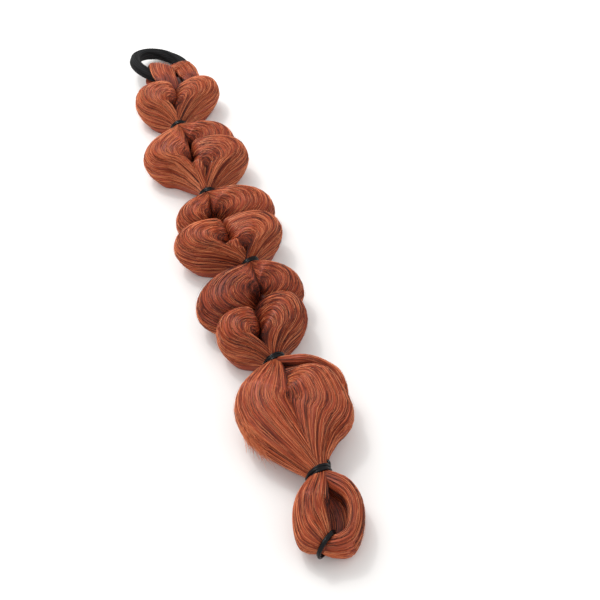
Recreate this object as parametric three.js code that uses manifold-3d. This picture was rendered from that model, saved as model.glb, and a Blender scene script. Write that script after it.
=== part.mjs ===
// A bubble ponytail hair piece, lying on a table with its hair tie at +Y.
// Three strands of hair are folded over a cotton hair tie, plaited, gathered by small elastics and
// pulled out between them into four plaited bubbles, one loose bubble and a tucked-in end.
// Millimetres, +Z up. The origin is on the table, under the middle of the piece.

import * as THREE from "three";
import { mergeVertices } from "three/addons/utils/BufferGeometryUtils.js";
import Module from "manifold-3d";

const wasm = await Module();
wasm.setup();

// Driving dimensions. Here y is measured from the tail's tip and x from a line along the middle.

const MIDDLE = { x: 2.52, y: 252.62 };
const GAP = 0.6;
const GIVE = 0.45;
// The strands are named for where they lie in the loose bubble.
const STRANDS = ["left", "back", "right"];

// Hair tie: a ring of round cotton band whose far side lies on the table.
const TIE = { x: -8, y: 480, ringRadius: 21, bandRadius: 4.8, nearSideUp: 12, leftSideUp: 17 };

// Where the hair is gathered, from the tie to the tail. A slant turns the right side towards the tie.
const GATHERS = [
  { y: 452, x: -2, z: 18, radius: 15, width: 0, slant: 0 },
  { y: 400, x: -9.5, z: 16, radius: 4.6, width: 3.6, slant: 3 },
  { y: 321, x: -3.5, z: 17, radius: 5, width: 4.2, slant: -8 },
  { y: 243.5, x: 9, z: 18, radius: 5.6, width: 4.4, slant: 18 },
  { y: 154, x: 4, z: 18, radius: 6.4, width: 5, slant: 15 },
  { y: 59.5, x: 9, z: 17, radius: 7.2, width: 5.6, slant: 12 },
];
const NECK_HALF_LENGTH = 3.4;
const ELASTIC_THICKNESS = 1.6;
const LEAN_RUN = 14;

// The last elastic, round the tip of the front strand alone.
const TIP_ELASTIC = { x: 0.5, y: 11, z: 15, radius: 6, width: 3.8, slant: 40 };

// Each bubble: the height of its crest above the table, and how far down it is fullest.
const BUBBLES = [
  { crest: 36, fullest: 0.4 },
  { crest: 40, fullest: 0.5 },
  { crest: 42, fullest: 0.5 },
  { crest: 42, fullest: 0.48 },
  { crest: 45, fullest: 0.5 },
  { crest: 35, fullest: 0.5 },
];
const MID_SHARE = 0.47;
const LIFT_SHARE = 0.2;
const HALF_HEIGHT_SHARE = 0.36;

// The turns of the plait: the side strands pulled out, right and left in turn, and the plaited
// bubble each is in, how far down that bubble it lies, and its reach from the middle line.
const TURNS = [
  { bubble: 0, down: 0.32, reach: 37 },
  { bubble: 0, down: 0.42, reach: 36 },
  { bubble: 1, down: 0.16, reach: 39 },
  { bubble: 1, down: 0.48, reach: 36 },
  { bubble: 1, down: 0.62, reach: 42 },
  { bubble: 1, down: 0.84, reach: 25 },
  { bubble: 2, down: 0.16, reach: 48 },
  { bubble: 2, down: 0.36, reach: 36 },
  { bubble: 2, down: 0.6, reach: 37 },
  { bubble: 2, down: 0.75, reach: 51 },
  { bubble: 3, down: 0.22, reach: 35 },
  { bubble: 3, down: 0.31, reach: 45 },
  { bubble: 3, down: 0.62, reach: 33 },
  { bubble: 3, down: 0.71, reach: 36 },
];
const PLAITED_BUBBLES = 4;
const FIRST_PHASE = -1.5;
const NECK_LEAD = 0.65;
const TURN_ANGLE = 60;
const STRAND_ANGLE = { left: 90, back: -150, right: -30 };
const REACH_IN_PATH = 0.5;
const SWING_FULLNESS = 0.25;
const NECK_SPREAD = 0.55;
const NECK_LIFT = 0.5;

// How the strands lie where they come off the tie, before the plait takes them.
const ROOT = {
  left: { x: -2, z: 11, halfWidth: 14, halfHeight: 7 },
  back: { x: 10.5, z: 21.5, halfWidth: 9, halfHeight: 7 },
  right: { x: -9, z: 24.5, halfWidth: 11, halfHeight: 7 },
};
const ROOT_RUN = 9;

// The folds over the tie: place round the tie from its near point, and half width along the band.
const FOLDS = {
  back: { round: 46, halfWidth: 9, from: 205, landing: { x: 10.5, y: 450.5, z: 22, halfWidth: 6 } },
  right: { round: -12, halfWidth: 10.2, from: 262, landing: { x: -9, y: 450.5, z: 25, halfWidth: 8 } },
};
const FOLD_HALF_THICKNESS = 3;
const FOLD_END = 70;

// The unplaited end: middle and half sizes of each strand, from the last plait to its tip.
const LOOSE = {
  left: [
    { y: 146, x: -3, z: 20, halfWidth: 11, halfHeight: 12 },
    { y: 130, x: -8, z: 23, halfWidth: 21, halfHeight: 17 },
    { y: 112, x: -9, z: 22, halfWidth: 25, halfHeight: 18 },
    { y: 92, x: -7, z: 19, halfWidth: 21, halfHeight: 14.5 },
    { y: 76, x: -1, z: 18, halfWidth: 11, halfHeight: 10.5 },
    { y: 59.5, x: 5, z: 19, halfWidth: 9, halfHeight: 9 },
    { y: 46, x: 1.5, z: 21, halfWidth: 10, halfHeight: 10 },
    { y: 26, x: -4.5, z: 20, halfWidth: 14, halfHeight: 12 },
    { y: 13, x: -2, z: 16, halfWidth: 10, halfHeight: 8 },
    { y: 3, x: 3, z: 12, halfWidth: 3, halfHeight: 3 },
  ],
  back: [
    { y: 136, x: 20, z: 13, halfWidth: 20, halfHeight: 12 },
    { y: 112, x: 6, z: 9, halfWidth: 30, halfHeight: 12 },
    { y: 92, x: 4, z: 9, halfWidth: 26, halfHeight: 11 },
    { y: 76, x: 6, z: 11, halfWidth: 14, halfHeight: 9 },
    { y: 59.5, x: 9, z: 12.5, halfWidth: 9, halfHeight: 8 },
    { y: 46, x: 8, z: 8, halfWidth: 12, halfHeight: 8 },
    { y: 26, x: 6, z: 6, halfWidth: 19, halfHeight: 7.5 },
    { y: 13, x: 3, z: 6.5, halfWidth: 15, halfHeight: 7 },
    { y: 5, x: 5, z: 6.5, halfWidth: 8, halfHeight: 6 },
    { y: 1, x: 5, z: 7, halfWidth: 3, halfHeight: 3 },
  ],
  right: [
    { y: 146, x: 13, z: 22, halfWidth: 15, halfHeight: 12 },
    { y: 134, x: 20, z: 24, halfWidth: 23, halfHeight: 16 },
    { y: 112, x: 21, z: 24, halfWidth: 27, halfHeight: 18 },
    { y: 92, x: 20, z: 21, halfWidth: 24, halfHeight: 15 },
    { y: 81, x: 15, z: 20, halfWidth: 15, halfHeight: 12 },
    { y: 73, x: 11, z: 19, halfWidth: 8, halfHeight: 9.5 },
    { y: 59.5, x: 12, z: 19, halfWidth: 9, halfHeight: 9 },
    { y: 46, x: 16, z: 20, halfWidth: 8.5, halfHeight: 10 },
    { y: 26, x: 22, z: 17, halfWidth: 9, halfHeight: 13 },
    { y: 10, x: 14, z: 13, halfWidth: 10, halfHeight: 10 },
    { y: 0, x: 6, z: 9, halfWidth: 5, halfHeight: 4 },
  ],
};

// How finely the faces are cut, and the distance below which corners are one.
const STRAND_SIDES = 11;
const OUTLINE_STEPS = 96;
const PLAIT_STATIONS = 16;
const LOOSE_STATIONS = 11;
const END_CROWDING = 0.55;
const FOLD_STEPS = 9;
const RING_STEPS = 28;
const TIE_SIDES = 9;
const ELASTIC_STEPS = 16;
const SAME_POINT = 1e-4;

// Rounding of a strand's section: the power of its oval, and of the blend where it meets another.
const OVAL_POWER = 2.2;
const BLEND_POWER = 9;
const PUFF_POWER = 2.5;

// Curves and interpolation

const radians = THREE.MathUtils.degToRad;

// A monotone cubic through rows sorted by y, as a function of y, level beyond both ends.
function curveThrough(rows, column) {
  const knots = [...rows].sort((a, b) => a.y - b.y).map((row) => ({ y: row.y, v: row[column] }));
  const last = knots.length - 1;
  const slopes = knots.slice(1).map((k, i) => (k.v - knots[i].v) / (k.y - knots[i].y));
  const tangents = knots.map((_, i) => {
    if (i === 0 || i === last || slopes[i - 1] * slopes[i] <= 0) return 0;
    return (2 * slopes[i - 1] * slopes[i]) / (slopes[i - 1] + slopes[i]);
  });
  return (y) => {
    if (y <= knots[0].y) return knots[0].v;
    if (y >= knots[last].y) return knots[last].v;
    const i = knots.findLastIndex((k) => k.y <= y);
    const span = knots[i + 1].y - knots[i].y;
    const t = (y - knots[i].y) / span;
    const h = t * t * (3 - 2 * t);
    const rise = t * (1 - t) * span * ((1 - t) * tangents[i] - t * tangents[i + 1]);
    return knots[i].v * (1 - h) + knots[i + 1].v * h + rise;
  };
}

const spineX = curveThrough(GATHERS, "x");
const gatherZ = curveThrough(GATHERS, "z");
const gatherRadius = curveThrough(GATHERS, "radius");
const OPEN_RING = 1000;
const PUFFED_RING = 90;

// A bubble runs between the facing ends of two necks, and the last one to the tail's tip.
function bubbleEnds(bubble) {
  const top = GATHERS[bubble].y - (bubble === 0 ? 0 : NECK_HALF_LENGTH);
  const next = GATHERS[bubble + 1];
  return { top, bottom: next ? next.y + NECK_HALF_LENGTH : 0 };
}

// How far out a bubble is puffed at y: nothing at its necks and one at its middle.
function puffAt(y) {
  const bubble = Math.max(GATHERS.findLastIndex((g) => y <= g.y), 0);
  const { top, bottom } = bubbleEnds(bubble);
  const { fullest } = BUBBLES[bubble];
  const down = (top - y) / (top - bottom);
  const across = down < fullest ? 1 - down / fullest : (down - fullest) / (1 - fullest);
  return across >= 1 ? 0 : Math.sqrt(1 - across ** PUFF_POWER);
}

function bubbleMiddle(bubble) {
  const { top, bottom } = bubbleEnds(bubble);
  return (top + bottom) / 2;
}

const crest = curveThrough(BUBBLES.map((row, i) => ({ y: bubbleMiddle(i), ...row })), "crest");

// Slope of the sections: each neck leans with its elastic, and the bubbles between are square.
const slopeAt = curveThrough(
  GATHERS.flatMap((g) => [
    { y: g.y + LEAN_RUN, slope: 0 },
    { y: g.y, slope: Math.tan(radians(g.slant)) },
    { y: g.y - LEAN_RUN, slope: 0 },
  ]),
  "slope",
);

const turnRows = TURNS.map((turn, n) => {
  const { top, bottom } = bubbleEnds(turn.bubble);
  return { y: top + (bottom - top) * turn.down, reach: turn.reach, phase: n };
});
const neckPhases = GATHERS.slice(0, PLAITED_BUBBLES + 1).map((g, bubble) => ({
  y: g.y,
  phase: bubble === 0 ? FIRST_PHASE : TURNS.findLastIndex((turn) => turn.bubble < bubble) + NECK_LEAD,
}));
const phaseAt = curveThrough([...turnRows, ...neckPhases], "phase");
const reachRight = curveThrough(turnRows.filter((row) => row.phase % 2 === 0), "reach");
const reachLeft = curveThrough(turnRows.filter((row) => row.phase % 2 === 1), "reach");

// The plait: a strand swings from side to side once while it rises and falls twice.
function plaitAt(strand, y) {
  const puff = puffAt(y);
  const angle = radians(STRAND_ANGLE[strand] + TURN_ANGLE * phaseAt(y));
  const swing = Math.sin(angle) * (1 + SWING_FULLNESS * Math.cos(angle) ** 2);
  const reach = swing > 0 ? reachRight(y) : reachLeft(y);
  const evenReach = THREE.MathUtils.lerp(reachLeft(y), reachRight(y), (swing + 1) / 2);
  const neck = gatherRadius(y);
  const height = crest(y);
  const out = THREE.MathUtils.lerp(NECK_SPREAD * neck, reach * REACH_IN_PATH, puff);
  return {
    x: spineX(y) + out * swing,
    z: THREE.MathUtils.lerp(gatherZ(y), height * MID_SHARE, puff)
      + Math.sin(2 * angle) * THREE.MathUtils.lerp(NECK_LIFT * neck, height * LIFT_SHARE, puff),
    halfWidth: THREE.MathUtils.lerp(neck, evenReach * (1 - REACH_IN_PATH), puff),
    halfHeight: THREE.MathUtils.lerp(neck, height * HALF_HEIGHT_SHARE, puff),
  };
}

// Middle and half sizes of a strand at y, over its whole length.
const COLUMNS = ["x", "z", "halfWidth", "halfHeight"];
const plaitEnd = GATHERS[PLAITED_BUBBLES].y;
const looseCurves = Object.fromEntries(
  STRANDS.map((strand) => {
    const rows = [{ y: plaitEnd, ...plaitAt(strand, plaitEnd) }, ...LOOSE[strand]];
    return [strand, Object.fromEntries(COLUMNS.map((c) => [c, curveThrough(rows, c)]))];
  }),
);

function strandAt(strand, y) {
  if (y < plaitEnd) {
    return Object.fromEntries(COLUMNS.map((c) => [c, looseCurves[strand][c](y)]));
  }
  const plait = plaitAt(strand, y);
  const rootShare = THREE.MathUtils.smoothstep(y, GATHERS[0].y - ROOT_RUN, GATHERS[0].y);
  return Object.fromEntries(
    COLUMNS.map((c) => [c, THREE.MathUtils.lerp(plait[c], ROOT[strand][c], rootShare)]),
  );
}

// Solids

// A closed skin through rings of points that all have the same number of sides.
function loft(rings) {
  const sides = rings[0].length;
  const points = rings.flat();
  const faces = [];
  rings.slice(1).forEach((_, i) => {
    for (let j = 0; j < sides; j += 1) {
      const a = i * sides + j;
      const b = i * sides + ((j + 1) % sides);
      faces.push(a, b, b + sides, a, b + sides, a + sides);
    }
  });
  for (const [ring, turned] of [[0, true], [rings.length - 1, false]]) {
    const middle = new THREE.Vector3();
    rings[ring].forEach((p) => middle.addScaledVector(p, 1 / sides));
    points.push(middle);
    for (let j = 0; j < sides; j += 1) {
      const a = ring * sides + j;
      const b = ring * sides + ((j + 1) % sides);
      faces.push(...(turned ? [b, a, points.length - 1] : [a, b, points.length - 1]));
    }
  }
  return new THREE.BufferGeometry().setFromPoints(points).setIndex(faces);
}

function solidOf(geometry) {
  const bare = geometry.clone();
  bare.deleteAttribute("normal");
  bare.deleteAttribute("uv");
  const merged = mergeVertices(bare, SAME_POINT);
  const vertProperties = new Float32Array(merged.getAttribute("position").array);
  const triVerts = new Uint32Array(merged.index.array);
  return new wasm.Manifold(new wasm.Mesh({ numProp: 3, vertProperties, triVerts }));
}

function geometryOf(solid) {
  const made = solid.getMesh();
  const geometry = new THREE.BufferGeometry();
  geometry.setAttribute("position", new THREE.BufferAttribute(made.vertProperties, 3));
  geometry.setIndex(new THREE.BufferAttribute(made.triVerts, 1));
  geometry.computeVertexNormals();
  return geometry;
}

// The stations along the strands. They crowd towards a bubble's ends, where it swells fastest.
const stations = GATHERS.flatMap((_, bubble) => {
  const { top, bottom } = bubbleEnds(bubble);
  const count = bubble < PLAITED_BUBBLES ? PLAIT_STATIONS : LOOSE_STATIONS;
  return Array.from({ length: count + 1 }, (__, i) => {
    const even = i / count;
    const crowded = (1 - Math.cos(Math.PI * even)) / 2;
    return THREE.MathUtils.lerp(top, bottom, THREE.MathUtils.lerp(even, crowded, END_CROWDING));
  });
});

// Where another strand lies from this one at y: how far, and which way.
function neighbour(strand, other, y) {
  const [a, b] = [strandAt(strand, y), strandAt(other, y)];
  const between = new THREE.Vector2(b.x - a.x, b.z - a.z);
  return { apart: between.length(), towards: between.clone().normalize() };
}

// Points spaced evenly along a closed outline.
function evenly(outline, count) {
  const closed = [...outline, outline[0]];
  const run = [0];
  outline.forEach((p, i) => run.push(run[i] + p.distanceTo(closed[i + 1])));
  return Array.from({ length: count }, (_, j) => {
    const wanted = (run.at(-1) * j) / count;
    const i = run.findLastIndex((length) => length <= wanted);
    return closed[i].clone().lerp(closed[i + 1], (wanted - run[i]) / (run[i + 1] - run[i]));
  });
}

// Distance from a strand's middle to its skin, in the upright plane of a station, one way out:
// the least of its own oval, the seams half way to the other strands and the gather's ring,
// blended so that the edges are round.
function skinDistance(own, neighbours, ring, way) {
  const oval = ((Math.abs(way.x) / own.halfWidth) ** OVAL_POWER
    + (Math.abs(way.y) / own.halfHeight) ** OVAL_POWER) ** (-1 / OVAL_POWER);
  const limits = [oval];
  for (const { apart, towards } of neighbours) {
    const facing = towards.dot(way);
    if (facing > SAME_POINT) limits.push((apart - GAP) / 2 / facing);
  }
  const from = new THREE.Vector2(own.x - ring.x, own.z - ring.z);
  const along = from.dot(way);
  limits.push(Math.sqrt(along * along + ring.radius ** 2 - from.lengthSq()) - along);
  return limits.reduce((sum, d) => sum + d ** -BLEND_POWER, 0) ** (-1 / BLEND_POWER);
}

function strandSection(strand, y, growth) {
  const own = strandAt(strand, y);
  const neighbours = STRANDS.filter((n) => n !== strand).map((n) => neighbour(strand, n, y));
  const open = y > bubbleMiddle(0) || y < bubbleMiddle(BUBBLES.length - 1);
  const ring = {
    x: spineX(y),
    z: gatherZ(y),
    radius: open ? OPEN_RING : gatherRadius(y) + PUFFED_RING * puffAt(y),
  };
  const outline = Array.from({ length: OUTLINE_STEPS }, (_, j) => {
    const angle = (2 * Math.PI * j) / OUTLINE_STEPS;
    const way = new THREE.Vector2(Math.cos(angle), Math.sin(angle));
    const out = skinDistance(own, neighbours, ring, way) + growth;
    return new THREE.Vector2(own.x + out * way.x, Math.max(0, own.z + out * way.y));
  });
  return evenly(outline, STRAND_SIDES).map(
    (p) => new THREE.Vector3(p.x, y + (p.x - ring.x) * slopeAt(y), p.y),
  );
}

function strandLoft(strand, growth) {
  const end = LOOSE[strand].at(-1).y;
  const kept = [...stations.filter((y) => y > end + 1), end];
  return solidOf(loft(kept.map((y) => strandSection(strand, y, growth))));
}

// A ring of flat band round the hair, leaning by its slant.
function elasticRing({ x, y, z, radius, width, slant }, clearance) {
  const inner = radius + GAP - clearance;
  const outer = radius + GAP + ELASTIC_THICKNESS + clearance;
  const half = width / 2 + clearance;
  const shoulder = half - ELASTIC_THICKNESS / 2;
  const outline = [
    [inner, -half], [outer, -shoulder], [outer, shoulder], [inner, half], [inner, -half],
  ].map(([r, h]) => new THREE.Vector2(r, h));
  const lean = new THREE.Matrix4().makeShear(Math.tan(radians(slant)), 0, 0, 0, 0, 0);
  return new THREE.LatheGeometry(outline, ELASTIC_STEPS).applyMatrix4(lean).translate(x, y, z);
}

const tieTurn = new THREE.Matrix4().makeRotationFromEuler(
  new THREE.Euler(radians(-TIE.nearSideUp), radians(TIE.leftSideUp), 0),
);

const tieRing = new THREE.TorusGeometry(TIE.ringRadius, TIE.bandRadius, TIE_SIDES, RING_STEPS)
  .applyMatrix4(tieTurn);
tieRing.computeBoundingBox();
const tieMiddle = new THREE.Vector3(TIE.x, TIE.y, -tieRing.boundingBox.min.z);
tieRing.translate(tieMiddle.x, tieMiddle.y, tieMiddle.z);

// A point near the tie: an angle round its ring from the near point, then an angle and a distance
// round the band, from the outside of the ring over its top.
function nearTie(round, over, distance) {
  const reach = TIE.ringRadius + distance * Math.cos(over);
  return new THREE.Vector3(
    reach * Math.sin(round), -reach * Math.cos(round), distance * Math.sin(over),
  ).applyMatrix4(tieTurn).add(tieMiddle);
}

// Hair folded over the tie: under the band, up through the ring, over the top and into its strand.
function fold({ round, halfWidth, from, landing }) {
  const bend = TIE.bandRadius + GAP + FOLD_HALF_THICKNESS;
  const oval = Array.from({ length: STRAND_SIDES }, (_, j) => {
    const angle = (2 * Math.PI * j) / STRAND_SIDES;
    return { across: halfWidth * Math.cos(angle), out: FOLD_HALF_THICKNESS * Math.sin(angle) };
  });
  const rings = Array.from({ length: FOLD_STEPS + 1 }, (_, i) => {
    const over = radians(THREE.MathUtils.lerp(from, FOLD_END, i / FOLD_STEPS));
    return oval.map((o) => nearTie(radians(round) + o.across / TIE.ringRadius, over, bend + o.out));
  });
  const narrowing = landing.halfWidth / halfWidth;
  rings.push(oval.map((o) => new THREE.Vector3(
    landing.x + o.across * narrowing, landing.y, landing.z + o.out,
  )));
  return loft(rings);
}

// Assembly

const HAIR = new THREE.MeshStandardMaterial({ color: 0xa65538, roughness: 0.45, metalness: 0 });
const COTTON = new THREE.MeshStandardMaterial({ color: 0x17181a, roughness: 0.85, metalness: 0 });
const RUBBER = new THREE.MeshStandardMaterial({ color: 0x1a1c1e, roughness: 0.4, metalness: 0 });

const elastics = [...GATHERS.slice(1), TIP_ELASTIC];

// A strand gives way to the ones before it where their straight faces meet between two stations.
function strandSolid(strand) {
  let solid = strandLoft(strand, 0).subtract(solidOf(elasticRing(TIP_ELASTIC, GAP)));
  for (const before of STRANDS.slice(0, STRANDS.indexOf(strand))) {
    solid = solid.subtract(strandLoft(before, GIVE));
  }
  return FOLDS[strand] ? solid.add(solidOf(fold(FOLDS[strand]))) : solid;
}

const ponytail = new THREE.Group();

function addPiece(name, geometry, material) {
  const mesh = new THREE.Mesh(geometry, material);
  mesh.name = name;
  mesh.position.set(-MIDDLE.x, -MIDDLE.y, 0);
  ponytail.add(mesh);
}

addPiece("hair_tie", tieRing, COTTON);
for (const strand of STRANDS) addPiece(`strand_${strand}`, geometryOf(strandSolid(strand)), HAIR);
elastics.forEach((elastic, i) => {
  addPiece(`small_elastic_${i + 1}`, elasticRing(elastic, 0), RUBBER);
});

export default ponytail;
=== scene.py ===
"""A bubble ponytail hair piece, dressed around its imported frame.

Three strands of synthetic hair are folded over a cotton tie, plaited, gathered by small rubber
elastics and pulled out into bubbles between them. Shapes are worked out with numpy in millimetres,
with y measured from the tail's tip and x from a line along the middle, and go into the frame in metres.
"""

import logging
import math
from dataclasses import dataclass
from enum import Enum
from functools import cached_property
from typing import NamedTuple, Sequence

import bpy
import numpy as np
from mathutils import Matrix, Vector


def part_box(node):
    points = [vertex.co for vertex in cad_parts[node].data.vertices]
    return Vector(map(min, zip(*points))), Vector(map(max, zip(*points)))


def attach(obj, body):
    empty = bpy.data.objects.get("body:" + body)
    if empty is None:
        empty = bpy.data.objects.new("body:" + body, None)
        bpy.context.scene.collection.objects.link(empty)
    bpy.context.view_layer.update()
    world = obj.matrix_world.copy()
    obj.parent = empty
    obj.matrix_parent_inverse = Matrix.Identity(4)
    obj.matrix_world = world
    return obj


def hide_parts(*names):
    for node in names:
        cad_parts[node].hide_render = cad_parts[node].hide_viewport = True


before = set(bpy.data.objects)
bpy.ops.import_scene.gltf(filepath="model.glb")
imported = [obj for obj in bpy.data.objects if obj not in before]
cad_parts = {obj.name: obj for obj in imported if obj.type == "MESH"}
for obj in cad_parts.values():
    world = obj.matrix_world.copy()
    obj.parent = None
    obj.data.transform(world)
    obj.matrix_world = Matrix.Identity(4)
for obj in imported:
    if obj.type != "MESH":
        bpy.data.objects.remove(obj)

Array = np.ndarray
log = logging.getLogger("bubble_ponytail")
TURN = 2 * math.pi
MM = 0.001
BODY = "root"
TINY = 1e-9
LOOSE_BUBBLE = 5
HAIR_SIDES = 3

# Points on an outline before they are spaced evenly, and the tip of a round end as a share of its ring
OUTLINE_STEPS = 480
DOME_TIP = 0.02

# Girth of a full lock, and how its streaks are stretched along the hair and set apart from others
FULL_GIRTH = 130.0
FLOW_STRETCH = 35.0
FLOW_START = 40.0
FLOWS_A_STRAND = 20
FOLD_FLOW = 100

# Seeds of the random draws
FOLD_SEED = 60
BUBBLE_SEED = 100
FOLD_HAIRS_SEED = 107
FRAY_SEED = 108


# Tables of the hair's shape


class Gather(NamedTuple):
    """A gathered place: its middle, the hair's radius there, and the slant of the band round it."""

    y: float
    x: float
    z: float
    radius: float
    width: float
    slant: float

    @property
    def slope(self) -> float:
        """How far the band rises along the tail for each millimetre across."""
        return math.tan(math.radians(self.slant))


class Bubble(NamedTuple):
    """A bubble: its crest above the table, and how far down it is fullest."""

    crest: float
    fullest: float


class PlaitTurn(NamedTuple):
    """A side strand pulled out of the plait: its bubble, how far down it lies, and its reach."""

    bubble: int
    down: float
    reach: float


class Section(NamedTuple):
    """A section of a strand: its place along the tail, its middle and its half sizes."""

    y: float
    x: float
    z: float
    half_width: float
    half_height: float


class Strand(Enum):
    """The three strands, named for where they lie in the loose bubble, with their phase in the plait."""

    LEFT = 90.0
    BACK = -150.0
    RIGHT = -30.0

    @property
    def node(self) -> str:
        """Name of the strand's node in the frame."""
        return f"strand_{self.name.lower()}"


GATHERS = (
    Gather(452, -2, 18, 15, 0, 0),
    Gather(400, -9.5, 16, 4.6, 3.6, 3),
    Gather(321, -3.5, 17, 5, 4.2, -8),
    Gather(243.5, 9, 18, 5.6, 4.4, 18),
    Gather(154, 4, 18, 6.4, 5, 15),
    Gather(59.5, 9, 17, 7.2, 5.6, 12),
)
TIP_GATHER = Gather(11, 0.5, 15, 6, 3.8, 40)
BANDS = (*GATHERS, TIP_GATHER)

BUBBLES = (
    Bubble(36, 0.4), Bubble(40, 0.5), Bubble(42, 0.5),
    Bubble(42, 0.48), Bubble(45, 0.5), Bubble(35, 0.5),
)

TURNS = (
    PlaitTurn(0, 0.32, 37), PlaitTurn(0, 0.42, 36),
    PlaitTurn(1, 0.16, 39), PlaitTurn(1, 0.48, 36), PlaitTurn(1, 0.62, 42), PlaitTurn(1, 0.84, 25),
    PlaitTurn(2, 0.16, 48), PlaitTurn(2, 0.36, 36), PlaitTurn(2, 0.6, 37), PlaitTurn(2, 0.75, 51),
    PlaitTurn(3, 0.22, 35), PlaitTurn(3, 0.31, 45), PlaitTurn(3, 0.62, 33), PlaitTurn(3, 0.71, 36),
)

ROOTS = {
    Strand.LEFT: Section(452, -2, 11, 14, 7),
    Strand.BACK: Section(452, 10.5, 21.5, 9, 7),
    Strand.RIGHT: Section(452, -9, 24.5, 11, 7),
}

LOOSE = {
    Strand.LEFT: (
        Section(146, -3, 20, 11, 12), Section(130, -8, 23, 21, 17), Section(112, -9, 22, 25, 18),
        Section(92, -7, 19, 21, 14.5), Section(76, -1, 18, 11, 10.5), Section(59.5, 5, 19, 9, 9),
        Section(46, 1.5, 21, 10, 10), Section(26, -4.5, 20, 14, 12), Section(13, -2, 16, 10, 8),
        Section(3, 3, 12, 3, 3),
    ),
    Strand.BACK: (
        Section(136, 20, 13, 20, 12), Section(112, 6, 9, 30, 12), Section(92, 4, 9, 26, 11),
        Section(76, 6, 11, 14, 9), Section(59.5, 9, 12.5, 9, 8), Section(46, 8, 8, 12, 8),
        Section(26, 6, 6, 19, 7.5), Section(13, 3, 6.5, 15, 7), Section(5, 5, 6.5, 8, 6),
        Section(1, 5, 7, 3, 3),
    ),
    Strand.RIGHT: (
        Section(146, 13, 22, 15, 12), Section(134, 20, 24, 23, 16), Section(112, 21, 24, 27, 18),
        Section(92, 20, 21, 24, 15), Section(81, 15, 20, 15, 12), Section(73, 11, 19, 8, 9.5),
        Section(59.5, 12, 19, 9, 9), Section(46, 16, 20, 8.5, 10), Section(26, 22, 17, 9, 13),
        Section(10, 14, 13, 10, 10), Section(0, 6, 9, 5, 4),
    ),
}


# Curves and grids


class Curve:
    """A monotone cubic through knots, level beyond both ends.

    A knot's tangent is the harmonic mean of the slopes beside it, or zero where the curve turns.
    """

    def __init__(self, y: Sequence[float], v: Sequence[float]) -> None:
        """Puts the knots in order and works out their tangents.

        Args:
            y: places of the knots.
            v: values there.
        """
        order = np.argsort(y)
        self.y = np.asarray(y, float)[order]
        self.v = np.asarray(v, float)[order]
        slope = np.diff(self.v) / np.diff(self.y)
        both = slope[:-1] * slope[1:]
        total = slope[:-1] + slope[1:]
        self.tangent = np.zeros_like(self.y)
        self.tangent[1:-1] = np.where(both > 0, 2 * both / np.where(both > 0, total, 1), 0)

    def __call__(self, y: Array) -> Array:
        """Value of the curve, by the cubic between the two knots beside each place.

        Args:
            y: places.

        Returns:
            The value at each place.
        """
        y = np.clip(y, self.y[0], self.y[-1])
        i = np.clip(np.searchsorted(self.y, y, side="right") - 1, 0, len(self.y) - 2)
        span = self.y[i + 1] - self.y[i]
        t = (y - self.y[i]) / span
        h = t * t * (3 - 2 * t)
        rise = t * (1 - t) * span * ((1 - t) * self.tangent[i] - t * self.tangent[i + 1])
        return self.v[i] * (1 - h) + self.v[i + 1] * h + rise


def mix(a: Array | float, b: Array | float, share: Array | float) -> Array:
    """From a at share 0 to b at share 1, in a straight line."""
    return a + (b - a) * share


def smooth(low: Array | float, high: Array | float, value: Array) -> Array:
    """From 0 at low to 1 at high, level at both ends."""
    t = np.clip((value - low) / (high - low), 0, 1)
    return t * t * (3 - 2 * t)


def unit(vectors: Array) -> Array:
    """Vectors scaled to length one."""
    return vectors / np.maximum(np.linalg.norm(vectors, axis=-1, keepdims=True), TINY)


def through(rings: Array, count: int) -> Array:
    """A smooth run of rings through a few given ones, by cubic pieces with mean-slope tangents.

    Args:
        rings: the given rings, one per row.
        count: how many rings to return.

    Returns:
        The new rings, evenly spaced in the index of the given ones.
    """
    place = np.linspace(0, len(rings) - 1, count)
    i = np.clip(place.astype(int), 0, len(rings) - 2)
    t = (place - i).reshape(-1, *[1] * (rings.ndim - 1))
    slope = np.gradient(rings, axis=0)
    h = t * t * (3 - 2 * t)
    rise = t * (1 - t) * ((1 - t) * slope[i] - t * slope[i + 1])
    return rings[i] * (1 - h) + rings[i + 1] * h + rise


def evenly_round(outlines: Array, count: int) -> Array:
    """Points spaced evenly along closed outlines.

    All outlines share one interpolation: the way round each, from 0 to 1, is raised by twice its number.

    Args:
        outlines: array of outlines, points and the two columns of a place.
        count: points wanted on each outline.

    Returns:
        The new points.
    """
    closed = np.concatenate([outlines, outlines[:, :1]], axis=1)
    steps = np.hypot(*np.moveaxis(np.diff(closed, axis=1), -1, 0))
    run = np.concatenate([np.zeros((len(closed), 1)), np.cumsum(steps, axis=1)], axis=1)
    raised = 2.0 * np.arange(len(closed))[:, None]
    known = (run / run[:, -1:] + raised).ravel()
    wanted = (np.arange(count) / count + raised).ravel()
    columns = np.moveaxis(closed, -1, 0).reshape(closed.shape[-1], -1)
    found = np.stack([np.interp(wanted, known, column) for column in columns], axis=-1)
    return found.reshape(len(closed), count, -1)


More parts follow.
